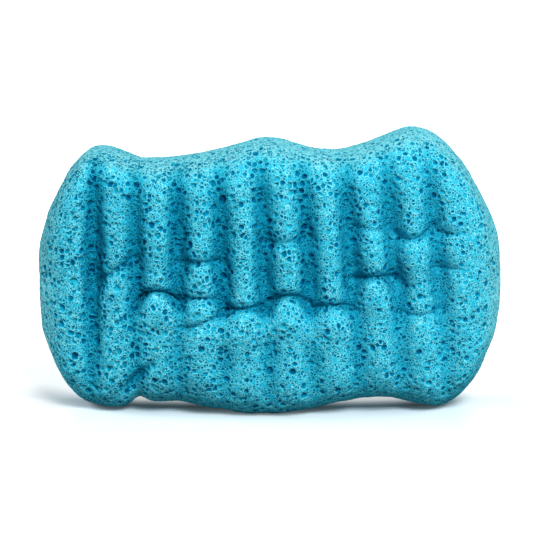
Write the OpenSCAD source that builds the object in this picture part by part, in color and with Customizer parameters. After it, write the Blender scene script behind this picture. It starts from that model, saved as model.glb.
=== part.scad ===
// Konjac foam bath sponge: one moulded pad of open-cell plant foam, one solid with no core.
// Its outline has three lobes along the top edge and three along the bottom edge, upright finger
// grooves run down its front, and soft folds cross the ridges between them. The back is plain.
// The pad stands on its long edge, on flat spots under the three bottom lobes.
// Millimetres: X runs along the pad, the ridged front faces -Y, Z is up, and Z = 0 is the ground.

/* [Pad] */
// Length of the pad from end to end
pad_length = 132; // [110:1:160]
// Thickness of the pad along its middle line
pad_thickness = 34; // [26:1:42]
// Reach of the plain top edge above the middle line, between its lobes
top_reach = 36.4; // [28:0.1:42]
// Reach of the plain bottom edge below the middle line, between its lobes
bottom_reach = 33.5; // [29:0.1:43]
// How far the middle of the pad is bowed forward of its ends
bow = 10; // [0:0.5:14]
// How much thinner each face is at the plain top edge than at the middle line
face_crown = 1.5; // [0:0.1:3]
// How far the lowest lobe is pressed flat where it meets the ground
foot_press = 0.9; // [0.3:0.1:2]

/* [Rounding] */
// Reach of the rounding of the top edge, from the crest down the faces
top_round = 10; // [8:0.5:16]
// Reach of the rounding of the bottom edge, from the crest up the faces
bottom_round = 13; // [9:0.5:16]
// Reach of the rounding of the two ends, along the length
end_round = 12; // [8:0.5:18]
// Squareness of an edge in section: 2 is an ellipse, more is squarer
edge_squareness = 2.3; // [2:0.1:3]
// How late the top edge turns down towards an end: more keeps it level for longer
top_corner_start = 2.7; // [2:0.1:3.5]
// How full the two top corners are: more is fuller
top_corner_fullness = 2.5; // [1.8:0.1:3]
// How late the bottom edge turns up towards an end: more keeps it level for longer
bottom_corner_start = 2.1; // [2:0.1:3.5]
// How full the two bottom corners are: more is fuller
bottom_corner_fullness = 2.8; // [1.8:0.1:3]

/* [Top lobes] */
// Distance of the top left lobe from the left end
top_left_inset = 13.5; // [10:0.5:20]
// Rise of the top left lobe
top_left_rise = 12.2; // [4:0.1:14]
// Half-width of the top left lobe
top_left_spread = 12.3; // [8:0.1:14]
// Place of the top middle lobe along the length, from the centre
top_middle_place = -1.5; // [-6:0.5:6]
// Rise of the top middle lobe
top_middle_rise = 4.4; // [0:0.1:8]
// Half-width of the top middle lobe
top_middle_spread = 13; // [9:0.5:18]
// Distance of the top right lobe from the right end
top_right_inset = 20.5; // [14:0.5:26]
// Rise of the top right lobe
top_right_rise = 13.9; // [6:0.1:16]
// Half-width of the top right lobe
top_right_spread = 17; // [10:0.5:20]

/* [Bottom lobes] */
// Distance of the bottom left lobe from the left end
bottom_left_inset = 8.5; // [6:0.5:14]
// Drop of the bottom left lobe
bottom_left_drop = 17.4; // [14:0.1:22]
// Half-width of the bottom left lobe
bottom_left_spread = 20; // [16:0.5:24]
// Place of the bottom middle lobe along the length, from the centre
bottom_middle_place = -3; // [-6:0.5:6]
// Drop of the bottom middle lobe
bottom_middle_drop = 3.9; // [3:0.1:7]
// Half-width of the bottom middle lobe
bottom_middle_spread = 22; // [12:0.5:24]
// Distance of the bottom right lobe from the right end
bottom_right_inset = 12; // [8:0.5:16]
// Drop of the bottom right lobe
bottom_right_drop = 15.7; // [13:0.1:19]
// Half-width of the bottom right lobe
bottom_right_spread = 16; // [12:0.5:20]

/* [Grooves] */
// Distance from one groove to the next
groove_pitch = 11.9; // [10:0.1:14]
// Place of the middle groove along the length, from the centre
groove_centre = -1.4; // [-6:0.1:6]
// Width of the plain rim at each end, into which the grooves and folds fade
plain_rim = 13; // [11:0.5:18]
// Half-width of a groove
groove_half_width = 3.3; // [2:0.1:4.5]
// Depth of a groove above the folds
upper_groove_depth = 5; // [1:0.1:6]
// Depth of a groove below the folds
lower_groove_depth = 3.2; // [0.5:0.1:5]
// Share of their depth that the grooves lose by the plain top edge
groove_top_fade = 0.6; // [0:0.05:0.9]
// Share of their depth that the grooves lose by the plain bottom edge
groove_bottom_fade = 0.6; // [0:0.05:0.8]
// How far below the middle line the deep upper grooves give way to the shallow lower ones
groove_change_drop = 4; // [-4:0.5:10]
// Sideways lean of every groove, per millimetre downwards
groove_lean = 0.04; // [-0.1:0.01:0.1]
// Extra outward lean of a groove at the very end of the pad, per millimetre downwards
groove_fan = 0.1; // [0:0.01:0.15]
// Depth of the notch where one groove runs out under the bottom edge
bottom_notch_depth = 2.3; // [0:0.1:3]
// Depth of the notch where the same groove runs out over the top edge
top_notch_depth = 0.4; // [0:0.1:3]

/* [Folds] */
// Depth of a full-strength fold across a ridge
fold_depth = 2.1; // [1:0.1:4]
// Half-width of a fold
fold_half_width = 1.6; // [1.4:0.1:3]
// Half-length of a fold across its ridge
fold_half_length = 6.8; // [5:0.1:8]
// How far a ridge bulges out below a full-strength fold
fold_bulge = 1.8; // [0:0.1:3]
// Depth of the long crease that slants down to the bottom notch
slant_depth = 2.4; // [0:0.1:3]
// Depth of the broad hollow along the front, in which the folds lie
hollow_depth = 1.2; // [0:0.1:3]
// Half-height of the broad hollow
hollow_half_height = 13; // [8:0.5:20]

/* [Hidden] */

foam_colour = "#35b6d3";
half_length = pad_length / 2;
half_thickness = pad_thickness / 2;
bow_power = 1.7;
end_power = 2.2;
// No edge rounding takes more than this share of its side's reach.
most_round_share = 0.9;

// Grooves are numbered from the middle one, which is 0. This one also notches both long edges.
grooves_each_side = floor((half_length - plain_rim) / groove_pitch);
notch_groove = -3;
notch_half_width = 2.6;
// They are evenly spaced at this height above the middle line, and spread out further down.
even_rise = 9;
change_half_height = 5;
// Half the width over which the grooves and folds fade into the plain rim.
rim_fade = 2.5;
// Relative depth of grooves -4 to 4: hand-shaped foam is never quite even.
groove_strengths = [1.2, 0.9, 1, 0.95, 1, 0.95, 1.1, 1.1, 0.95];

// Each fold: the groove that its ridge lies to the right of, its rise above the middle line, its
// slope, its sag from the middle of its ridge to the ridge's sides, and its strength.
folds = [
    [-4, 5.3, 0.75, 0.6, 0.6],
    [-3, -0.2, 0, 3.4, 1],
    [-2, 8.4, 0.05, 0.6, 0.6],
    [-2, -1.7, 0, 1.2, 0.6],
    [-2, -9, 0.4, -1, 0.6],
    [-1, -4.6, 0.05, 0.6, 0.9],
    [0, 14.2, 0.05, -0.6, 0.45],
    [0, -0.9, 0, 3, 1],
    [1, -3.9, 0, 1.2, 0.95],
    [2, 3.9, 0, 1.2, 1],
    [2, 17.6, 0, -0.6, 0.25],
    [3, 14.4, 0.15, -2.6, 0.8],
    [3, -7.2, 0.05, -1.2, 0.45],
    [4, 15.4, 0, -0.6, 0.4],
    [4, 5.6, 0, 0, 0.4],
];
bulge_drop = 6;
bulge_half_height = 5;

// The slanting crease lies beside the notched groove, this far below the middle line.
slant_drop = 25.5;
slant_slope = 1;
slant_half_width = 1.9;
slant_half_length = 5;

// Number of rings along the length, and of points up the front, over the top edge, down the
// back and under the bottom edge of each ring.
ring_count = 86;
ring_points = [42, 10, 6, 10];

function bell(u) = exp(-u * u);
function smooth_step(u) = 1 / (1 + exp(-2 * u));
function signed_power(v, e) = sign(v) * pow(abs(v), e);
function sum(list, i = 0) = i == len(list) ? 0 : list[i] + sum(list, i + 1);

// Grooves: the middle of groove i, and how deep they are, at a height h above the middle line.
function groove_x(i, h) =
    let (x = groove_centre + i * groove_pitch)
    x + (groove_lean + groove_fan * x / half_length) * (even_rise - h);
function groove_strength(i) =
    let (count = len(groove_strengths))
    groove_strengths[(i + floor(count / 2) + count) % count];
function groove_depth(h) =
    let (
        upper_share = smooth_step((h + groove_change_drop) / change_half_height),
        kept = 1 - groove_top_fade * pow(max(0, h) / top_reach, 2)
            - groove_bottom_fade * pow(min(0, h) / bottom_reach, 2)
    )
    kept * (lower_groove_depth + (upper_groove_depth - lower_groove_depth) * upper_share);
function grooves(x, h) =
    groove_depth(h) * sum([for (i = [-grooves_each_side:grooves_each_side])
        groove_strength(i) * bell((x - groove_x(i, h)) / groove_half_width)]);

// Folds: each crosses its ridge as a dip, with a bulge below it.
function ridge_x(i, h) = (groove_x(i, h) + groove_x(i + 1, h)) / 2;
function fold(f, x, h) =
    let (
        dx = x - ridge_x(f[0], f[1]),
        dh = h - f[1] - f[2] * dx + f[3] * pow(2 * dx / groove_pitch, 2),
        dip = fold_depth * bell(dh / fold_half_width),
        bulge = fold_bulge * bell((dh + bulge_drop) / bulge_half_height)
    )
    f[4] * exp(-pow(dx / fold_half_length, 4)) * (dip - bulge);
function slant(x, h) =
    let (
        dx = x - groove_x(notch_groove, -slant_drop),
        dh = h + slant_drop,
        across = dh - slant_slope * dx,
        along = (dx + slant_slope * dh) / (1 + slant_slope * slant_slope)
    )
    slant_depth * bell(across / slant_half_width) * bell(along / slant_half_length);
function rim_share(x) = smooth_step((half_length - plain_rim - abs(x)) / rim_fade);
function broad_hollow(h) = hollow_depth * bell(h / hollow_half_height);
function relief(x, h) =
    rim_share(x)
        * (grooves(x, h) + slant(x, h) + broad_hollow(h) + sum([for (f = folds) fold(f, x, h)]));

// Outline seen from the front: how far it reaches above and below the middle line. A level line
// carries the lobes, and both are drawn in towards the ends.
function corner(x, start, fullness) =
    pow(max(0, 1 - pow(abs(x) / half_length, start)), 1 / fullness);
function notch(x) = bell((x - groove_x(notch_groove, even_rise)) / notch_half_width);
function from_left(x) = x + half_length;
function from_right(x) = half_length - x;
function reach_up(x) =
    corner(x, top_corner_start, top_corner_fullness)
        * (top_reach - top_notch_depth * notch(x)
        + top_left_rise * bell((from_left(x) - top_left_inset) / top_left_spread)
        + top_middle_rise * bell((x - top_middle_place) / top_middle_spread)
        + top_right_rise * bell((from_right(x) - top_right_inset) / top_right_spread));
function reach_down(x) =
    corner(x, bottom_corner_start, bottom_corner_fullness)
        * (bottom_reach - bottom_notch_depth * notch(x)
        + bottom_left_drop * bell((from_left(x) - bottom_left_inset) / bottom_left_spread)
        + bottom_middle_drop * bell((x - bottom_middle_place) / bottom_middle_spread)
        + bottom_right_drop * bell((from_right(x) - bottom_right_inset) / bottom_right_spread));

// Plan seen from above: the ends are rounded, and the whole pad is bowed.
function into_end(x) = min(1, max(0, abs(x) - half_length + end_round) / end_round);
function thick(x, h) =
    pow(1 - pow(into_end(x), end_power), 1 / end_power)
        * (half_thickness - face_crown * pow(h / top_reach, 2));
function bow_back(x) = bow * pow(abs(x) / half_length, bow_power);

// Rings crowd together towards the two poles, where the skin closes.
function ring_x(i) = let (w = 2 * i / ring_count - 1) half_length * (9 * w - pow(w, 9)) / 8;
middle_height = max([for (i = [1:ring_count - 1]) reach_down(ring_x(i))]) - foot_press;

// One point of the skin: s runs from 0 to 4 around a ring, up the front, over the top edge,
// down the back and under the bottom edge. The relief fades out over the two long edges.
function skin_point(x, s) =
    let (
        side = floor(s),
        part = s - side,
        up = reach_up(x),
        down = reach_down(x),
        up_round = min(top_round, most_round_share * up),
        down_round = min(bottom_round, most_round_share * down),
        face_top = up - up_round,
        face_bottom = down_round - down,
        across = signed_power(cos(180 * part), 2 / edge_squareness),
        along = pow(sin(180 * part), 2 / edge_squareness),
        h = [
            face_bottom + (face_top - face_bottom) * part,
            face_top + up_round * along,
            face_top + (face_bottom - face_top) * part,
            face_bottom - down_round * along
        ][side],
        forward = [1, across, -1, -across][side],
        facing = max(0, forward) * (1 - pow(into_end(x), 2))
    )
    [x, facing * relief(x, h) - forward * thick(x, h) + bow_back(x), max(0, middle_height + h)];

ring_s = [for (side = [0:3]) for (j = [0:ring_points[side] - 1]) side + j / ring_points[side]];
around = len(ring_s);
rings = [for (i = [1:ring_count - 1]) for (s = ring_s) skin_point(ring_x(i), s)];
poles = [for (x = [-half_length, half_length]) [x, bow_back(x), middle_height]];
skin = concat(rings, poles);
left_pole = len(rings);
right_pole = left_pole + 1;
last_ring = left_pole - around;
skin_faces = concat(
    [for (i = [0:ring_count - 3]) for (j = [0:around - 1])
        let (a = i * around + j, b = i * around + (j + 1) % around)
        each [[a, a + around, b], [b, a + around, b + around]]],
    [for (j = [0:around - 1]) [left_pole, j, (j + 1) % around]],
    [for (j = [0:around - 1]) [right_pole, last_ring + (j + 1) % around, last_ring + j]]
);
// The origin lies under the middle of the pad's whole depth.
depths = [for (p = skin) p[1]];
middle_depth = (min(depths) + max(depths)) / 2;

module sponge_body() {
    color(foam_colour)
        translate([0, -middle_depth, 0])
            polyhedron(points = skin, faces = skin_faces, convexity = 6);
}

sponge_body();
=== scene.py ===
"""Konjac bath sponge: one moulded pad of open-cell plant foam, standing on its long edge.

The pad's skin is one closed grid, worked out in millimetres and fitted to its CAD solid's box.
Pores are then cut into it, and the same pore pattern colours the foam, so cut and colour agree.
"""

import bpy
import numpy as np
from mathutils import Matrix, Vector


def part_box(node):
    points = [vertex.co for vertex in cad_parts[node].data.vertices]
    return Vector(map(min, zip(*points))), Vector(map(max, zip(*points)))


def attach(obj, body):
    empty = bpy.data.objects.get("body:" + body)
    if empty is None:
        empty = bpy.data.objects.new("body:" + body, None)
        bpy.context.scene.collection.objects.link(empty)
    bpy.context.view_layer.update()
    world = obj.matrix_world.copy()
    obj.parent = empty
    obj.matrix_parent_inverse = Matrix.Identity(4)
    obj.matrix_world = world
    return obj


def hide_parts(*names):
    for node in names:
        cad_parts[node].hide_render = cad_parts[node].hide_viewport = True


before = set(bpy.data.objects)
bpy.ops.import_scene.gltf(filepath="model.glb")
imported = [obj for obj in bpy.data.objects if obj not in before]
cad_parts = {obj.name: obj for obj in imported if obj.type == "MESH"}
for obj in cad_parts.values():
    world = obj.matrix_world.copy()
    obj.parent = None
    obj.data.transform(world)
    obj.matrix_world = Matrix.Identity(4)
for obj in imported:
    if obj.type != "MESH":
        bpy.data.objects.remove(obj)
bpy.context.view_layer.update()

MM = 0.001

# ---------------------------------------------------------------- the pad's form, in millimetres

# These are the sizes that the CAD solid has, apart from the cleft in each fold, which is finer
# than its facets. Heights are above the middle line, and places are along the pad from its centre.
low, high = (np.array(corner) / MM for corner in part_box("sponge_body"))
HALF_LENGTH = (high[0] - low[0]) / 2
HALF_THICKNESS = 17
TOP_REACH = 36.4
BOTTOM_REACH = 33.5
BOW = 10
BOW_POWER = 1.7
FACE_CROWN = 1.5
FOOT_PRESS = 0.9

TOP_ROUND = 10
BOTTOM_ROUND = 13
END_ROUND = 12
# No edge rounding takes more than this share of its side's reach.
MOST_ROUND_SHARE = 0.9
EDGE_SQUARENESS = 2.3
END_POWER = 2.2
# How late each long edge turns in towards an end, and how full its corners are.
TOP_CORNERS = (2.7, 2.5)
BOTTOM_CORNERS = (2.1, 2.8)

# Each lobe of the outline: its place along the pad, its height and its half-width.
TOP_LOBES = [
    (13.5 - HALF_LENGTH, 12.2, 12.3),
    (-1.5, 4.4, 13),
    (HALF_LENGTH - 20.5, 13.9, 17),
]
BOTTOM_LOBES = [
    (8.5 - HALF_LENGTH, 17.4, 20),
    (-3, 3.9, 22),
    (HALF_LENGTH - 12, 15.7, 16),
]

# The relief fades into this plain rim at each end.
PLAIN_RIM = 13
RIM_FADE = 2.5
GROOVE_PITCH = 11.9
GROOVE_CENTRE = -1.4
GROOVE_HALF_WIDTH = 3.3
UPPER_GROOVE_DEPTH = 5
LOWER_GROOVE_DEPTH = 3.2
GROOVE_TOP_FADE = 0.6
GROOVE_BOTTOM_FADE = 0.6
GROOVE_CHANGE_DROP = 4
CHANGE_HALF_HEIGHT = 5
GROOVE_LEAN = 0.04
GROOVE_FAN = 0.1
EVEN_RISE = 9
# Relative depth of each groove, by its number from the middle one.
GROOVE_STRENGTHS = {-4: 1.2, -3: 0.9, -2: 1, -1: 0.95, 0: 1, 1: 0.95, 2: 1.1, 3: 1.1, 4: 0.95}
NOTCH_GROOVE = -3
NOTCH_HALF_WIDTH = 2.6
TOP_NOTCH = 0.4
BOTTOM_NOTCH = 2.3

FOLD_DEPTH = 2.1
FOLD_HALF_WIDTH = 1.6
FOLD_HALF_LENGTH = 6.8
FOLD_BULGE = 1.8
BULGE_DROP = 6
BULGE_HALF_HEIGHT = 5
# The cleft in the middle of each fold, and the broad hollow that the folds lie in.
CLEFT_DEPTH = 1.2
CLEFT_HALF_WIDTH = 0.5
HOLLOW_DEPTH = 1.2
HOLLOW_HALF_HEIGHT = 13
# Each fold: the groove left of its ridge, its rise above the middle line, its slope, its sag from
# the middle of its ridge to the ridge's sides, and its strength.
FOLDS = [
    (-4, 5.3, 0.75, 0.6, 0.6),
    (-3, -0.2, 0, 3.4, 1),
    (-2, 8.4, 0.05, 0.6, 0.6),
    (-2, -1.7, 0, 1.2, 0.6),
    (-2, -9, 0.4, -1, 0.6),
    (-1, -4.6, 0.05, 0.6, 0.9),
    (0, 14.2, 0.05, -0.6, 0.45),
    (0, -0.9, 0, 3, 1),
    (1, -3.9, 0, 1.2, 0.95),
    (2, 3.9, 0, 1.2, 1),
    (2, 17.6, 0, -0.6, 0.25),
    (3, 14.4, 0.15, -2.6, 0.8),
    (3, -7.2, 0.05, -1.2, 0.45),
    (4, 15.4, 0, -0.6, 0.4),
    (4, 5.6, 0, 0, 0.4),
]
SLANT_DEPTH = 2.4
SLANT_DROP = 25.5
SLANT_SLOPE = 1
SLANT_HALF_WIDTH = 1.9
SLANT_HALF_LENGTH = 5

# Rings along the pad, and points of each ring up the front, over the top, down the back and under.
RING_COUNT = 316
RING_POINTS = (152, 62, 40, 60)
# The power by which rows crowd towards the front of both edges.
EDGE_CROWDING = 1.4
# Between these two places around a ring, over the back, rows are too far apart to carry the
# middle-sized pores as full cuts, so these pores keep only a share of their depth.
COARSE_ROWS = (1.8, 3.2)
COARSE_CUT_SHARE = 0.25

# --------------------------------------------------- the foam's pores and texture, in millimetres

# The bubbles' spacing, the wall between two of them, their smallest and largest radius, and how
# rare the large ones are. Real cell walls are too thin to show, so they are drawn thicker.
FINE_PORES = {"spacing": 0.84, "wall": 0.17, "smallest": 0.28, "largest": 0.67, "rarity": 1.0}
MIDDLE_PORES = {"spacing": 1.9, "wall": 0.22, "smallest": 0.45, "largest": 1.08, "rarity": 0.8}
LARGE_PORES = {"spacing": 3.2, "wall": 0.3, "smallest": 0.2, "largest": 1.25, "rarity": 1.3}
# The share that bubbles lose on the crest of a rim, and what they lose on top of it at the second
# of these places along the pad, from none at the first.
RIM_SHRINKAGE = 0.3
END_SHRINKAGE = 0.15
SHRINKAGE_SPAN = (-60.0, 60.0)
# Soft noise that makes round pores oval: its size, and how far it pushes them.
WARP_SIZE = 2.2
WARP_PUSH = 0.45
# Share of their depth to which the middle-sized and large pores are cut into the mesh, and the
# share of it that they add as bump. The fine pores are too small for the mesh, and are bump alone.
CUT_SHARE = 0.8
CUT_PORES_BUMP = 0.5
# Grit and soft lumps on the skin: their size, and how far they stand out or in.
GRIT_SIZE = 0.9
GRIT_HEIGHT = 0.2
LUMP_SIZE = 9
LUMP_HEIGHT = 0.7

# ----------------------------------------------------------------------------- the foam's colours

# The foam's colour through one unit of dye, and the units of dye in each of its parts: skin with
# open cells and with closed ones, paler skin on the edges, which is painted sheen, and the rims,
# walls and bottoms of pores, where the extra dye at the bottoms is painted shade.
FOAM_DYE = "#1ab1d3"
OPEN_DYE = 1.02
CLOSED_DYE = 0.8
EDGE_SHEEN_DYE = 0.12
RIM_DYE = 0.23
WALL_DYE = 1.38
PORE_SHADE_DYE = 2.3
# Patches of closed cells: their size in millimetres, and the noise at which they start and fill.
MOTTLE_SIZE = 1.6
MOTTLE_LEVELS = (0.42, 0.66)
# Painted sheen: the skin is paler round its edges at the top and at both ends, as where rims catch
# light at a grazing angle: how far round an edge, how high up and how far out that starts and is
# full, how much stronger it is at the ends, and its share in all. The first two spans also place
# the painted shade on the top edge.
EDGE_SPAN = (0.0, 0.35)
TOP_SPAN = (0.0, 70.0)
END_SPAN = (54.0, 66.0)
END_SHEEN = 1.15
EDGE_SHEEN_SHARE = 0.64
# Torn walls that stand up as pale specks, drawn coarser than real ones so that they show.
SPECK_DYE = 0.12
SPECK_SIZE = 0.42
SPECK_LEVELS = (0.5, 0.68)
SPECK_SHARE = 0.7
# Each size of pore: the width in millimetres and the strength of its pale rim, the depths at which
# its bottom starts to darken with painted shade and is darkest, and how dark that is.
FINE_LOOK = {"rim_width": 0.1, "rim_share": 1.0, "dark_depths": (0.05, 0.5), "darkest": 0.9}
MIDDLE_LOOK = {"rim_width": 0.15, "rim_share": 0.95, "dark_depths": (0.1, 0.7), "darkest": 0.62}
LARGE_LOOK = {"rim_width": 0.2, "rim_share": 0.9, "dark_depths": (0.1, 0.9), "darkest": 0.7}
# How far inside a bubble its pale rim ends, and its dyed wall starts and is full.
RIM_END = -0.01
WALL_SPAN = (-0.04, 0.06)
# How much of the wall's dye a larger pore shows, from one pore to another, and how much of it the
# fine pores lose where the skin is closed.
WALL_SHARES = (0.5, 0.95)
CLOSED_LOSS = 0.25
# A pore's random number says how dark its bottom is: not at all at the first, fully at the second.
DARK_CHANCES = (0.1, 1.0)
# Painted shade in grooves and folds, laid on as extra dye: its units, and the depths at which that
# starts and is full. It weakens by this loss from the first to the second of these places along the
# pad.
CREASE_SHADE_DYE = 0.5
CREASE_DEPTHS = (0.4, 4.0)
CREASE_SPAN = (0.0, 50.0)
CREASE_LOSS = 0.35
# Painted shade: the share of light taken out of the colour in creases, on the rounded top edge and in
# the bottoms of pores.
CREASE_SHADE = 0.3
TOP_SHADE = 0.26
PORE_SHADE = 0.4
SHEEN_TINT = "#bfeff8"

# ------------------------------------------------------- the floor, lights and camera, in metres

FLOOR_HALF_SIZE = 3.0
FLOOR_WHITE = (0.9, 0.9, 0.9, 1)
# What the floor throws back on the pad, and the blue tints in its shadow, as paint and as glow,
# which are painted light thrown from the pad onto the floor.
FLOOR_BOUNCE = (0.2, 0.245, 0.255, 1)
PAINTED_BOUNCE_TINT = "#d7ecf6"
GLOWING_BOUNCE_TINT = "#bcd6de"
# The pad's feet stand on a bowed line: half its length, its middle's place across the floor, how
# far back its ends lie, and the power of its distance from the middle by which it bends.
FEET_REACH = 0.0575
FEET_MIDDLE = -0.003
FEET_BOW = 0.0074
FEET_POWER = 4.0
# The floor glows least along that line, a painted shadow over the lamps' own: its level there, half
# the width of that dim strip, how many times wider it grows between these two places along the
# floor, and where it ends.
NEAR_GLOW = 0.05
DIM_HALF_WIDTH = 0.009
DIM_SPREAD = 2.2
SPREAD_SPAN = (0.054, 0.066)
DIM_END = (0.062, 0.1)
# The glow beside the strip, in front and behind, where it changes from one to the other, and the
# distances from the middle at which the floor starts to whiten and is white. The stronger glow
# behind the strip is painted light, as if it came from under the pad.
SIDE_GLOWS = (0.2, 0.46)
SIDE_SPAN = (-0.0035, -0.0005)
WHITE_SPAN = (0.058, 0.16)
# The tint is faint behind the line and past its ends, by this loss, and gone where the floor glows.
TINT_SPAN_BEHIND = (0.0, 0.01)
TINT_SPAN_ALONG = (0.045, 0.065)
TINT_LOSS = 0.8
TINT_GLOWS = (0.0, 0.6)

# Each lamp: its place, the length of its sides and its power in watts.
LAMPS = {
    "key": ((0.19, -0.53, 0.5), 0.25, 5.5),
    "right": ((0.62, -0.1, 0.4), 0.3, 1.3),
    "left": ((-0.62, -0.05, 0.4), 0.3, 2.6),
    "back": ((0.1, 0.6, 0.35), 0.3, 1.2),
}
# The world's even light on the object, and the camera, with its lens and sensor in millimetres.
AMBIENT = 0.14
CAMERA_DISTANCE = 0.6
CAMERA_ELEVATION = np.radians(12)
CAMERA_LENS = 142.2
SENSOR_WIDTH = 36
AIM_HEIGHT = 40.2 * MM

# The kinds of node that come often, and the setting of a range that eases in and out.
MATH = "ShaderNodeMath"
RANGE = "ShaderNodeMapRange"
NOISE = "ShaderNodeTexNoise"
MIX = "ShaderNodeMix"
EASED = {"interpolation_type": "SMOOTHSTEP"}

# -------------------------------------------------------------------------------- the pad's skin


def bell(u):
    """exp(-u^2), a smooth hump of half-width 1."""
    return np.exp(-u * u)


def smooth_step(u):
    """1 / (1 + exp(-2u)), from 0 to 1."""
    return 1 / (1 + np.exp(-2 * u))


def groove_x(i, h):
    """Middle of groove i at height h: evenly spaced at EVEN_RISE, and fanned out further down."""
    x = GROOVE_CENTRE + i * GROOVE_PITCH
    return x + (GROOVE_LEAN + GROOVE_FAN * x / HALF_LENGTH) * (EVEN_RISE - h)


def grooves(x, h):
    """A row of bells across the pad, deeper above the folds, and shallower by both long edges."""
    upper_share = smooth_step((h + GROOVE_CHANGE_DROP) / CHANGE_HALF_HEIGHT)
    top_loss = GROOVE_TOP_FADE * (np.maximum(0, h) / TOP_REACH) ** 2
    bottom_loss = GROOVE_BOTTOM_FADE * (np.minimum(0, h) / BOTTOM_REACH) ** 2
    depth = LOWER_GROOVE_DEPTH + (UPPER_GROOVE_DEPTH - LOWER_GROOVE_DEPTH) * upper_share
    return (1 - top_loss - bottom_loss) * depth * sum(
        strength * bell((x - groove_x(i, h)) / GROOVE_HALF_WIDTH)
        for i, strength in GROOVE_STRENGTHS.items()
    )


def fold(x, h, groove, rise, slope, sag, strength):
    """A dip that sags to both sides of its ridge by the square of the distance, less a bulge below.

    A narrow cleft runs along the middle of the dip.
    """
    dx = x - (groove_x(groove, rise) + groove_x(groove + 1, rise)) / 2
    dh = h - rise - slope * dx + sag * (2 * dx / GROOVE_PITCH) ** 2
    dip = FOLD_DEPTH * bell(dh / FOLD_HALF_WIDTH)
    bulge = FOLD_BULGE * bell((dh + BULGE_DROP) / BULGE_HALF_HEIGHT)
    cleft = CLEFT_DEPTH * bell(dh / CLEFT_HALF_WIDTH)
    return strength * np.exp(-((dx / FOLD_HALF_LENGTH) ** 4)) * (dip + cleft - bulge)


def slant(x, h):
    """The crease that slants down to the bottom notch: a bell across it times a bell along it."""
    dx = x - groove_x(NOTCH_GROOVE, -SLANT_DROP)
    dh = h + SLANT_DROP
    across = dh - SLANT_SLOPE * dx
    along = (dx + SLANT_SLOPE * dh) / (1 + SLANT_SLOPE**2)
    return SLANT_DEPTH * bell(across / SLANT_HALF_WIDTH) * bell(along / SLANT_HALF_LENGTH)


def relief(x, h):
    """How far the front is pressed in at (x, h), faded into the plain rims at both ends.

    Returns the creases, which are grooves and folds, and the broad hollow that they lie in.
    """
    rim_share = smooth_step((HALF_LENGTH - PLAIN_RIM - np.abs(x)) / RIM_FADE)
    folds = sum(fold(x, h, *one) for one in FOLDS)
    broad_hollow = HOLLOW_DEPTH * bell(h / HOLLOW_HALF_HEIGHT)
    return rim_share * (grooves(x, h) + slant(x, h) + folds), rim_share * broad_hollow


def outline(x, reach, lobes, corners, notch_depth):
    """Reach of one long edge: a level line with a bell for each lobe, drawn in at the ends."""
    start, fullness = corners
    corner = np.maximum(0, 1 - (np.abs(x) / HALF_LENGTH) ** start) ** (1 / fullness)
    notch = bell((x - groove_x(NOTCH_GROOVE, EVEN_RISE)) / NOTCH_HALF_WIDTH)
    humps = sum(height * bell((x - place) / spread) for place, height, spread in lobes)
    return corner * (reach - notch_depth * notch + humps)


def skin(x, s):
    """The pad's skin at place x along it and s around it.

    s runs from 0 to 4: up the front, over the top edge, down the back and under the bottom edge.
    The edges are superellipses. The relief fades out over them and towards the ends. Also returns
    how deep the creases are, and how far round a rim the point is: 0 on a face, 1 on a crest.
    """
    side = np.minimum(3, np.floor(s)).astype(int)
    part = s - side
    up = outline(x, TOP_REACH, TOP_LOBES, TOP_CORNERS, TOP_NOTCH)
    down = outline(x, BOTTOM_REACH, BOTTOM_LOBES, BOTTOM_CORNERS, BOTTOM_NOTCH)
    up_round = np.minimum(TOP_ROUND, MOST_ROUND_SHARE * up)
    down_round = np.minimum(BOTTOM_ROUND, MOST_ROUND_SHARE * down)
    face_top = up - up_round
    face_bottom = down_round - down
    turn = np.cos(np.pi * part)
    across = np.sign(turn) * np.abs(turn) ** (2 / EDGE_SQUARENESS)
    along = np.abs(np.sin(np.pi * part)) ** (2 / EDGE_SQUARENESS)
    h = np.choose(side, [
        face_bottom + (face_top - face_bottom) * part,
        face_top + up_round * along,
        face_top + (face_bottom - face_top) * part,
        face_bottom - down_round * along,
    ])
    forward = np.choose(side, [np.ones_like(part), across, -np.ones_like(part), -across])
    into_end = np.clip((np.abs(x) - HALF_LENGTH + END_ROUND) / END_ROUND, 0, 1)
    crowned = HALF_THICKNESS - FACE_CROWN * (h / TOP_REACH) ** 2
    thick = (1 - into_end**END_POWER) ** (1 / END_POWER) * crowned
    on_face = 1 - into_end**2
    front_share = np.maximum(0, forward) * on_face
    creases, broad_hollow = (front_share * pressed for pressed in relief(x, h))
    bow_back = BOW * (np.abs(x) / HALF_LENGTH) ** BOW_POWER
    ground = FOOT_PRESS - down.max()
    y = creases + broad_hollow - forward * thick + bow_back
    points = np.stack([x, y, np.maximum(ground, h)], axis=-1)
    return points, creases, 1 - np.abs(forward) * on_face


def foam_grid():
    """The skin's points ring by ring between its two end points, with what skin says of each.

    Rings crowd towards the ends by (9w - w^9) / 8, and rows crowd towards the front of both edges.
    """
    w = np.linspace(-1, 1, RING_COUNT + 2)[1:-1]
    x = HALF_LENGTH * (9 * w - w**9) / 8
    front, top, back, bottom = (np.arange(n) / n for n in RING_POINTS)
    s = np.concatenate([
        front, 1 + top**EDGE_CROWDING, 2 + back, 4 - (1 - bottom) ** EDGE_CROWDING
    ])
    rings, creases, rim = skin(*np.meshgrid(x, s, indexing="ij"))
    ends = np.array([[end, BOW, 0] for end in (-HALF_LENGTH, HALF_LENGTH)])
    points = np.concatenate([rings.reshape(-1, 3), ends])
    # The grid fills the same box as the solid that it stands for.
    size = np.ptp(points, axis=0)
    points = low + (points - points.min(axis=0)) * (high - low) / size
    return points, np.append(creases, [0, 0]), np.append(rim, [1, 1]), s


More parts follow.
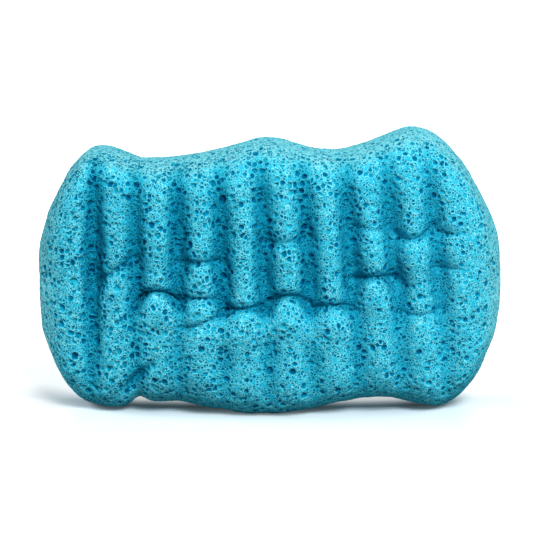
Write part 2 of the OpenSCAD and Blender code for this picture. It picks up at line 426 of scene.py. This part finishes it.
def grid_faces(rings, around):
    """Quads between neighbouring rings, and a fan of triangles at each end point."""
    i, j = np.meshgrid(np.arange(rings - 1), np.arange(around), indexing="ij")
    a, b = i * around + j, i * around + (j + 1) % around
    quads = np.stack([a, a + around, b + around, b], axis=-1).reshape(-1, 4)
    j = np.arange(around)
    after = (j + 1) % around
    last = (rings - 1) * around
    left = np.stack([np.full(around, rings * around), j, after], axis=-1)
    right = np.stack([np.full(around, rings * around + 1), last + after, last + j], axis=-1)
    return quads.tolist() + left.tolist() + right.tolist()


def sheet_coordinates(points, rings, around):
    """Lays the skin out flat: u is the distance along the pad and v the distance around each ring."""
    grid = points[: rings * around].reshape(rings, around, 3)
    closed = np.concatenate([grid, grid[:, :1]], axis=1)
    along = np.linalg.norm(np.diff(closed, axis=0), axis=2).mean(axis=1)
    round_it = np.linalg.norm(np.diff(closed, axis=1), axis=2).mean(axis=0)
    u = np.concatenate([[0], np.cumsum(along)]) + along[0]
    v = np.concatenate([[0], np.cumsum(round_it)])
    u = u / (u[-1] + along[-1])
    v = v / v[-1]
    i, j = np.meshgrid(np.arange(rings - 1), np.arange(around), indexing="ij")
    corners = [(i, j), (i + 1, j), (i + 1, j + 1), (i, j + 1)]
    quads = np.stack([np.stack([u[a], v[b]], axis=-1) for a, b in corners], axis=2)
    j = np.arange(around)
    middle = (v[j] + v[j + 1]) / 2
    left = np.stack([
        np.stack([np.zeros(around), middle], axis=-1),
        np.stack([np.full(around, u[0]), v[j]], axis=-1),
        np.stack([np.full(around, u[0]), v[j + 1]], axis=-1),
    ], axis=1)
    right = np.stack([
        np.stack([np.ones(around), middle], axis=-1),
        np.stack([np.full(around, u[-1]), v[j + 1]], axis=-1),
        np.stack([np.full(around, u[-1]), v[j]], axis=-1),
    ], axis=1)
    return np.concatenate([quads.reshape(-1, 2), left.reshape(-1, 2), right.reshape(-1, 2)])


def foam_skin():
    """The pad's mesh before the pores are cut.

    Each vertex keeps its place, its depth in a crease, how far round a rim it lies, and the share
    of their depth that the middle-sized pores have there.
    """
    points, creases, rim, s = foam_grid()
    around = len(s)
    mesh = bpy.data.meshes.new("foam_pad")
    mesh.from_pydata((points * MM).tolist(), [], grid_faces(RING_COUNT, around))
    mesh.shade_smooth()
    uv = mesh.uv_layers.new(name="OFBake")
    uv.data.foreach_set("uv", sheet_coordinates(points, RING_COUNT, around).ravel())
    place = mesh.attributes.new("place", "FLOAT_VECTOR", "POINT")
    place.data.foreach_set("vector", points.ravel())
    coarse_start, coarse_end = COARSE_ROWS
    is_coarse = (s >= coarse_start) & (s <= coarse_end)
    ring_shares = np.where(is_coarse, COARSE_CUT_SHARE, 1.0)
    fine = np.append(np.tile(ring_shares, RING_COUNT), [1, 1])
    for name, values in (("crease", creases), ("rim", rim), ("fine", fine)):
        mesh.attributes.new(name, "FLOAT", "POINT").data.foreach_set("value", values)
    pad = bpy.data.objects.new("foam_pad", mesh)
    bpy.context.scene.collection.objects.link(pad)
    return pad


# ------------------------------------------------------------------------------ pores as nodes


def linear(code):
    """A colour written as an sRGB hex code, in the linear values that a shader takes."""
    parts = np.array([int(code[i : i + 2], 16) for i in (1, 3, 5)]) / 255
    parts = np.where(parts <= 0.04045, parts / 12.92, ((parts + 0.055) / 1.055) ** 2.4)
    return (*parts, 1)


def add_node(tree, kind, values=(), **settings):
    """Adds one node: settings go on it, and values on its inputs, by their order or their name.

    A value is a number, a colour, another node's output, or a node that stands for its first one.
    """
    node = tree.nodes.new(kind)
    for name, setting in settings.items():
        setattr(node, name, setting)
    pairs = values.items() if isinstance(values, dict) else enumerate(values)
    for name, value in pairs:
        if isinstance(value, bpy.types.Node):
            value = value.outputs[0]
        if isinstance(value, bpy.types.NodeSocket):
            tree.links.new(value, node.inputs[name])
        else:
            node.inputs[name].default_value = value
    return node


def stirred(tree, place):
    """The place pushed up to WARP_PUSH each way by soft noise, so that round pores come out oval."""
    look = {"Vector": place, "Scale": 1 / WARP_SIZE, "Detail": 1.0}
    noise = add_node(tree, NOISE, look, noise_dimensions="3D")
    push = add_node(
        tree, "ShaderNodeVectorMath", (noise.outputs["Color"], (-0.5, -0.5, -0.5)), operation="ADD"
    )
    return add_node(
        tree, "ShaderNodeVectorMath", (push, (2 * WARP_PUSH,) * 3, place), operation="MULTIPLY_ADD"
    )


def pore_layer(tree, place, shrinkage, spacing, wall, smallest, largest, rarity):
    """Bubbles squeezed together and cut by the skin: one in each random cell, at about this spacing.

    The radius runs from smallest to largest by a random number to the power rarity, less the share
    shrinkage, and a bubble keeps half a wall away from its neighbours. Returns how far a point lies
    inside its bubble (negative outside), the depth of the hollow, inside * (2 - inside / radius),
    and a second random number for the bubble.
    """
    look = {"Vector": place, "Scale": 1 / spacing, "Randomness": 1.0}
    kind = "ShaderNodeTexVoronoi"
    cells = add_node(tree, kind, look, voronoi_dimensions="3D", feature="F1")
    borders = add_node(tree, kind, look, voronoi_dimensions="3D", feature="DISTANCE_TO_EDGE")
    chances = add_node(tree, "ShaderNodeSeparateXYZ", (cells.outputs["Color"],)).outputs
    grown = add_node(tree, MATH, (chances[0], rarity), operation="POWER")
    full = add_node(tree, MATH, (grown, largest - smallest, smallest), operation="MULTIPLY_ADD")
    kept = add_node(tree, MATH, (1.0, shrinkage), operation="SUBTRACT")
    radius = add_node(tree, MATH, (full, kept), operation="MULTIPLY")
    to_middle = cells.outputs["Distance"]
    to_rim = add_node(tree, MATH, (to_middle, -spacing, radius), operation="MULTIPLY_ADD")
    to_border = borders.outputs["Distance"]
    to_wall = add_node(tree, MATH, (to_border, spacing, -wall / 2), operation="MULTIPLY_ADD")
    inside = add_node(tree, MATH, (to_rim, to_wall), operation="MINIMUM")
    steepness = add_node(tree, MATH, (inside, radius), operation="DIVIDE")
    flatness = add_node(tree, MATH, (2.0, steepness), operation="SUBTRACT")
    sunk = add_node(tree, MATH, (inside, 0.0), operation="MAXIMUM")
    depth = add_node(tree, MATH, (sunk, flatness), operation="MULTIPLY")
    return inside, depth, chances[1]


def pore_shrinkage(tree, rim, along):
    """The share that bubbles lose: more over a rim, and more towards the pad's right end."""
    by_place = add_node(tree, RANGE, (along, *SHRINKAGE_SPAN, 0.0, END_SHRINKAGE), **EASED)
    return add_node(tree, MATH, (rim, RIM_SHRINKAGE, by_place), operation="MULTIPLY_ADD")


def roughness(tree, place):
    """How far the skin stands out: fine grit and soft lumps, each from minus to plus its height."""
    layers = []
    for size, height, detail in ((GRIT_SIZE, GRIT_HEIGHT, 2.0), (LUMP_SIZE, LUMP_HEIGHT, 1.0)):
        look = {"Vector": place, "Scale": 1 / size, "Detail": detail}
        noise = add_node(tree, NOISE, look, noise_dimensions="3D")
        layers.append(add_node(tree, MATH, (noise, 2 * height, -height), operation="MULTIPLY_ADD"))
    return add_node(tree, MATH, layers, operation="ADD")


def pore_cuts():
    """Moves each point of the skin along its normal: out by the roughness, in by the pores."""
    tree = bpy.data.node_groups.new("pore_cuts", "GeometryNodeTree")
    for way in ("INPUT", "OUTPUT"):
        tree.interface.new_socket("Geometry", in_out=way, socket_type="NodeSocketGeometry")
    skin_in = add_node(tree, "NodeGroupInput")
    named, rim, fine = (
        add_node(tree, "GeometryNodeInputNamedAttribute", {"Name": name}, data_type=kind)
        for name, kind in (("place", "FLOAT_VECTOR"), ("rim", "FLOAT"), ("fine", "FLOAT"))
    )
    place = stirred(tree, named)
    along = add_node(tree, "ShaderNodeSeparateXYZ", (place,))
    shrinkage = pore_shrinkage(tree, rim, along)
    _, middle, _ = pore_layer(tree, place, shrinkage, **MIDDLE_PORES)
    _, large, _ = pore_layer(tree, place, shrinkage, **LARGE_PORES)
    middle = add_node(tree, MATH, (middle, fine), operation="MULTIPLY")
    deepest = add_node(tree, MATH, (middle, large), operation="MAXIMUM")
    depth = add_node(tree, MATH, (deepest, CUT_SHARE), operation="MULTIPLY")
    rise = add_node(tree, MATH, (roughness(tree, place), depth), operation="SUBTRACT")
    metres = add_node(tree, MATH, (rise, MM), operation="MULTIPLY")
    normal = add_node(tree, "GeometryNodeInputNormal")
    offset = add_node(
        tree, "ShaderNodeVectorMath", {0: normal, "Scale": metres}, operation="SCALE"
    )
    moved = add_node(tree, "GeometryNodeSetPosition", {"Geometry": skin_in, "Offset": offset})
    add_node(tree, "NodeGroupOutput", (moved,))
    return tree


def cut_pores(pad):
    """Sinks the middle-sized and large pores into the mesh, and roughens it."""
    cutter = pad.modifiers.new("pore_cuts", "NODES")
    cutter.node_group = pore_cuts()
    done = pad.evaluated_get(bpy.context.evaluated_depsgraph_get())
    mesh = bpy.data.meshes.new_from_object(done)
    pad.modifiers.remove(cutter)
    pad.data = mesh
    # No point sinks under the ground that the pad stands on.
    points = np.empty(len(mesh.vertices) * 3, np.float32)
    mesh.vertices.foreach_get("co", points)
    points[2::3] = np.maximum(points[2::3], low[2] * MM)
    mesh.vertices.foreach_set("co", points)
    mesh.update()


# -------------------------------------------------------------------------------- the foam's look


def dye_pores(tree, dye, shade, pores, wall_share, rim_width, rim_share, dark_depths, darkest):
    """Colours one layer of pores: a pale rim, a wall with more dye, and a bottom in painted shade.

    Takes the dye and shade of what lies round the pores, and returns both with the pores in them.
    """
    inside, depth, chance = pores
    on_rim = add_node(tree, RANGE, (inside, -rim_width, RIM_END, 0.0, rim_share), **EASED)
    dye = add_node(tree, MIX, {0: on_rim, 2: dye, 3: RIM_DYE}, data_type="FLOAT")
    in_wall = add_node(tree, RANGE, (inside, *WALL_SPAN), **EASED)
    in_wall = add_node(tree, MATH, (in_wall, wall_share), operation="MULTIPLY")
    dye = add_node(tree, MIX, {0: in_wall, 2: dye, 3: WALL_DYE}, data_type="FLOAT")
    # Painted shade: the bottom of a pore darkens with its depth.
    deep = add_node(tree, RANGE, (depth, *dark_depths, 0.0, darkest), **EASED)
    chosen = add_node(tree, RANGE, (chance, *DARK_CHANCES), **EASED)
    darkness = add_node(tree, MATH, (deep, chosen), operation="MULTIPLY")
    dye = add_node(tree, MIX, {0: darkness, 2: dye, 3: PORE_SHADE_DYE}, data_type="FLOAT")
    lit = add_node(tree, MATH, (darkness, -PORE_SHADE, 1.0), operation="MULTIPLY_ADD")
    return dye, add_node(tree, MATH, (shade, lit), operation="MULTIPLY")


def bare_skin(tree, place, along, height, rim):
    """The skin between pores: how closed its cells are, and its dye and shade.

    It holds less dye where its cells are closed, and on its edges at the top and at both ends,
    which is painted sheen. The rounded top edge is darkened by painted shade.
    """
    look = {"Vector": place, "Scale": 1 / MOTTLE_SIZE, "Detail": 3.0}
    mottle = add_node(tree, NOISE, look, noise_dimensions="3D")
    closed = add_node(tree, RANGE, (mottle, *MOTTLE_LEVELS), **EASED)
    dye = add_node(tree, MIX, {0: closed, 2: OPEN_DYE, 3: CLOSED_DYE}, data_type="FLOAT")
    far_out = add_node(tree, MATH, (along,), operation="ABSOLUTE")
    at_end = add_node(tree, RANGE, (far_out, *END_SPAN, 0.0, END_SHEEN), **EASED)
    on_top = add_node(tree, RANGE, (height, *TOP_SPAN), **EASED)
    round_edge = add_node(tree, RANGE, (rim, *EDGE_SPAN), **EASED)
    top_or_end = add_node(tree, MATH, (on_top, at_end), operation="MAXIMUM")
    # Painted sheen: the edges at the top and at both ends are paler.
    edge_sheen = add_node(tree, MATH, (round_edge, top_or_end), operation="MULTIPLY")
    sheen_share = add_node(tree, MATH, (edge_sheen, EDGE_SHEEN_SHARE), operation="MULTIPLY")
    dye = add_node(tree, MIX, {0: sheen_share, 2: dye, 3: EDGE_SHEEN_DYE}, data_type="FLOAT")
    # Painted shade on the rounded top edge.
    top_edge = add_node(tree, MATH, (round_edge, on_top), operation="MULTIPLY")
    shade = add_node(tree, MATH, (top_edge, -TOP_SHADE, 1.0), operation="MULTIPLY_ADD")
    return closed, dye, shade


def dye_all_pores(tree, closed, dye, shade, place, shrinkage):
    """Colours the fine, middle-sized and large pores, with pale specks among the fine ones.

    Returns the dye, the shade, and the relief in millimetres that isn't cut into the mesh.
    """
    fine, middle, large = (
        pore_layer(tree, place, shrinkage, **pores)
        for pores in (FINE_PORES, MIDDLE_PORES, LARGE_PORES)
    )
    open_share = add_node(tree, MATH, (closed, -CLOSED_LOSS, 1.0), operation="MULTIPLY_ADD")
    dye, shade = dye_pores(tree, dye, shade, fine, open_share, **FINE_LOOK)
    look = {"Vector": place, "Scale": 1 / SPECK_SIZE, "Detail": 2.0}
    frays = add_node(tree, NOISE, look, noise_dimensions="3D")
    speck = add_node(tree, RANGE, (frays, *SPECK_LEVELS, 0.0, SPECK_SHARE), **EASED)
    dye = add_node(tree, MIX, {0: speck, 2: dye, 3: SPECK_DYE}, data_type="FLOAT")
    _, depth, _ = fine
    relief = add_node(tree, MATH, (depth, -1.0), operation="MULTIPLY")
    for pores, pore_look in ((middle, MIDDLE_LOOK), (large, LARGE_LOOK)):
        _, depth, chance = pores
        wall_share = add_node(tree, RANGE, (chance, 0.0, 1.0, *WALL_SHARES))
        dye, shade = dye_pores(tree, dye, shade, pores, wall_share, **pore_look)
        relief = add_node(tree, MATH, (depth, -CUT_PORES_BUMP, relief), operation="MULTIPLY_ADD")
    return dye, shade, relief


def paint_crease_shade(tree, dye, shade, crease, along):
    """Painted shade in grooves and folds, as dye and lost light, more on the left than on the right.
    """
    deep = add_node(tree, RANGE, (crease, *CREASE_DEPTHS), **EASED)
    kept = add_node(tree, RANGE, (along, *CREASE_SPAN, 1.0, 1 - CREASE_LOSS), **EASED)
    in_crease = add_node(tree, MATH, (deep, kept), operation="MULTIPLY")
    # Painted shade: creases get extra dye and lose light.
    dye = add_node(tree, MATH, (in_crease, CREASE_SHADE_DYE, dye), operation="MULTIPLY_ADD")
    lit = add_node(tree, MATH, (in_crease, -CREASE_SHADE, 1.0), operation="MULTIPLY_ADD")
    return dye, add_node(tree, MATH, (shade, lit), operation="MULTIPLY")


def konjac_foam():
    """Dyed konjac foam, matt and sky blue: where it holds more dye it is darker and less pale.

    Least dye lies on the rims of its pores, more on the skin between them, and most in the pores,
    grooves and folds. The extra dye at the bottoms of pores and in grooves and folds is painted
    shade, and the paler edges at the top and ends are painted sheen. The colour is FOAM_DYE to the
    power of the units of dye, times the shade, which is the painted share of light left in creases,
    in pores and on the rounded top edge.
    """
    material = bpy.data.materials.new("konjac_foam")
    material.use_nodes = True
    tree = material.node_tree
    tree.nodes.clear()
    named, crease, rim = (
        add_node(tree, "ShaderNodeAttribute", attribute_name=name).outputs[output]
        for name, output in (("place", "Vector"), ("crease", "Fac"), ("rim", "Fac"))
    )
    place = stirred(tree, named)
    along, _, height = add_node(tree, "ShaderNodeSeparateXYZ", (place,)).outputs
    shrinkage = pore_shrinkage(tree, rim, along)
    closed, dye, shade = bare_skin(tree, place, along, height, rim)
    dye, shade, relief = dye_all_pores(tree, closed, dye, shade, place, shrinkage)
    dye, shade = paint_crease_shade(tree, dye, shade, crease, along)
    channels = []
    for one_unit in linear(FOAM_DYE)[:3]:
        through_dye = add_node(tree, MATH, (one_unit, dye), operation="POWER")
        channels.append(add_node(tree, MATH, (through_dye, shade), operation="MULTIPLY"))
    colour = add_node(tree, "ShaderNodeCombineColor", channels)
    heights = {"Strength": 1.0, "Distance": MM, "Height": relief}
    bump = add_node(tree, "ShaderNodeBump", heights)
    shader = add_node(
        tree, "ShaderNodeBsdfPrincipled",
        {
            "Base Color": colour,
            "Roughness": 0.85,
            "Specular IOR Level": 0.0,
            "Sheen Weight": 0.02,
            "Sheen Roughness": 0.25,
            "Sheen Tint": linear(SHEEN_TINT),
            "Normal": bump,
        },
    )
    add_node(tree, "ShaderNodeOutputMaterial", {"Surface": shader})
    return material


# ------------------------------------------------------------------------ floor, lights and camera


def floor_material():
    """White studio floor: it shows white to the camera, with a shadow where the pad stands.

    To the camera it glows, which whitens it. The glow fades in a strip along the line that the pad's
    feet stand on, so the shadow that the lamps cast there shows, and the strip itself, wider at the
    ends, is a painted shadow. Behind the line it glows more, painted light as if from under the pad,
    and a faint blue tint in front is painted light thrown from the pad.
    """
    material = bpy.data.materials.new("studio_floor")
    material.use_nodes = True
    tree = material.node_tree
    tree.nodes.clear()
    seen = add_node(tree, "ShaderNodeLightPath").outputs["Is Camera Ray"]
    place = add_node(tree, "ShaderNodeTexCoord").outputs["Object"]
    away = add_node(tree, "ShaderNodeVectorMath", (place,), operation="LENGTH").outputs["Value"]
    along, across, _ = add_node(tree, "ShaderNodeSeparateXYZ", (place,)).outputs

    # How far a point lies behind the line of the feet, and how far from it either way.
    reach = add_node(tree, MATH, (along,), operation="ABSOLUTE")
    part_way = add_node(tree, MATH, (reach, FEET_REACH), operation="DIVIDE")
    inner = add_node(tree, MATH, (part_way, 1.0), operation="MINIMUM")
    bowed = add_node(tree, MATH, (inner, FEET_POWER), operation="POWER")
    feet = add_node(tree, MATH, (bowed, FEET_BOW, FEET_MIDDLE), operation="MULTIPLY_ADD")
    behind = add_node(tree, MATH, (across, feet), operation="SUBTRACT")
    either_way = add_node(tree, MATH, (behind,), operation="ABSOLUTE")
    spread = add_node(tree, RANGE, (reach, *SPREAD_SPAN, 1.0, DIM_SPREAD), **EASED)
    from_feet = add_node(tree, MATH, (either_way, spread), operation="DIVIDE")

    # Painted shadow: the glow dims in a strip along the feet, wider at the ends.
    beside = add_node(tree, RANGE, (from_feet, 0.0, DIM_HALF_WIDTH), **EASED)
    beyond = add_node(tree, RANGE, (reach, *DIM_END), **EASED)
    clear = add_node(tree, MATH, (beside, beyond), operation="MAXIMUM")
    # Painted light: the glow is stronger behind the strip than in front of it.
    side_glow = add_node(tree, RANGE, (behind, *SIDE_SPAN, *SIDE_GLOWS), **EASED)
    near = add_node(tree, MATH, (clear, side_glow), operation="MULTIPLY")
    far = add_node(tree, RANGE, (away, *WHITE_SPAN), **EASED)
    lit = add_node(tree, MATH, (far, near), operation="MAXIMUM")

    back = add_node(tree, RANGE, (behind, *TINT_SPAN_BEHIND, 0.0, TINT_LOSS), **EASED)
    end = add_node(tree, RANGE, (reach, *TINT_SPAN_ALONG, 0.0, TINT_LOSS), **EASED)
    untinted = add_node(tree, MATH, (back, end), operation="MAXIMUM")
    in_glow = add_node(tree, RANGE, (lit, *TINT_GLOWS), **EASED)
    whiteness = add_node(tree, MATH, (untinted, in_glow), operation="MAXIMUM")

    # Painted light: a blue tint in the shadow, for light thrown from the pad.
    paint, tinted_glow = (
        add_node(tree, MIX, {0: whiteness, 6: linear(tint), 7: white}, data_type="RGBA").outputs[2]
        for tint, white in ((PAINTED_BOUNCE_TINT, FLOOR_WHITE), (GLOWING_BOUNCE_TINT, (1, 1, 1, 1)))
    )
    colour = add_node(tree, MIX, {0: seen, 6: FLOOR_BOUNCE, 7: paint}, data_type="RGBA").outputs[2]
    diffuse = add_node(tree, "ShaderNodeBsdfDiffuse", {"Color": colour})
    level = add_node(tree, MATH, (lit, 1 - NEAR_GLOW, NEAR_GLOW), operation="MULTIPLY_ADD")
    strength = add_node(tree, MATH, (seen, level), operation="MULTIPLY")
    glow = add_node(tree, "ShaderNodeEmission", {"Color": tinted_glow, "Strength": strength})
    both = add_node(tree, "ShaderNodeAddShader", (diffuse, glow))
    add_node(tree, "ShaderNodeOutputMaterial", {"Surface": both})
    return material


def floor():
    """A square floor that reaches far out on every side."""
    half = FLOOR_HALF_SIZE
    mesh = bpy.data.meshes.new("floor")
    corners = [(-half, -half, 0), (half, -half, 0), (half, half, 0), (-half, half, 0)]
    mesh.from_pydata(corners, [], [(0, 1, 2, 3)])
    mesh.materials.append(floor_material())
    plane = bpy.data.objects.new("floor", mesh)
    bpy.context.scene.collection.objects.link(plane)


def area_light(name, place, size, watts):
    """A square soft light at place, turned towards the middle of the pad."""
    lamp = bpy.data.lights.new(name, "AREA")
    lamp.size = size
    lamp.energy = watts
    source = bpy.data.objects.new(name, lamp)
    source.location = place
    middle = Vector((low + high) / 2 * MM)
    source.rotation_euler = (middle - Vector(place)).to_track_quat("-Z", "Y").to_euler()
    bpy.context.scene.collection.objects.link(source)


def studio_world():
    """White to the camera and in reflections, and a weaker even light on the object."""
    world = bpy.data.worlds.new("studio")
    world.use_nodes = True
    tree = world.node_tree
    tree.nodes.clear()
    path = add_node(tree, "ShaderNodeLightPath").outputs
    seen = add_node(
        tree, MATH, (path["Is Camera Ray"], path["Is Glossy Ray"]), operation="MAXIMUM"
    )
    level = add_node(tree, MATH, (seen, 1 - AMBIENT, AMBIENT), operation="MULTIPLY_ADD")
    background = add_node(tree, "ShaderNodeBackground", {"Color": (1, 1, 1, 1), "Strength": level})
    add_node(tree, "ShaderNodeOutputWorld", {"Surface": background})
    bpy.context.scene.world = world


def camera():
    """A long lens in front of the pad, a little above it, aimed at the middle of its thickness."""
    lens = bpy.data.cameras.new("camera")
    lens.lens = CAMERA_LENS
    lens.sensor_width = SENSOR_WIDTH
    aim = Vector((0, (low[1] + HALF_THICKNESS) * MM, AIM_HEIGHT))
    back = Vector((0, -np.cos(CAMERA_ELEVATION), np.sin(CAMERA_ELEVATION)))
    eye = bpy.data.objects.new("camera", lens)
    eye.location = aim + CAMERA_DISTANCE * back
    eye.rotation_euler = (-back).to_track_quat("-Z", "Y").to_euler()
    bpy.context.scene.collection.objects.link(eye)
    bpy.context.scene.camera = eye


# ----------------------------------------------------------------------------------- the scene

pad = foam_skin()
cut_pores(pad)
pad.data.materials.clear()
pad.data.materials.append(konjac_foam())
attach(pad, "root")
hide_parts("sponge_body")

floor()
studio_world()
for lamp_name, lamp_look in LAMPS.items():
    area_light(lamp_name, *lamp_look)
camera()
bpy.context.scene.view_settings.view_transform = "Standard"
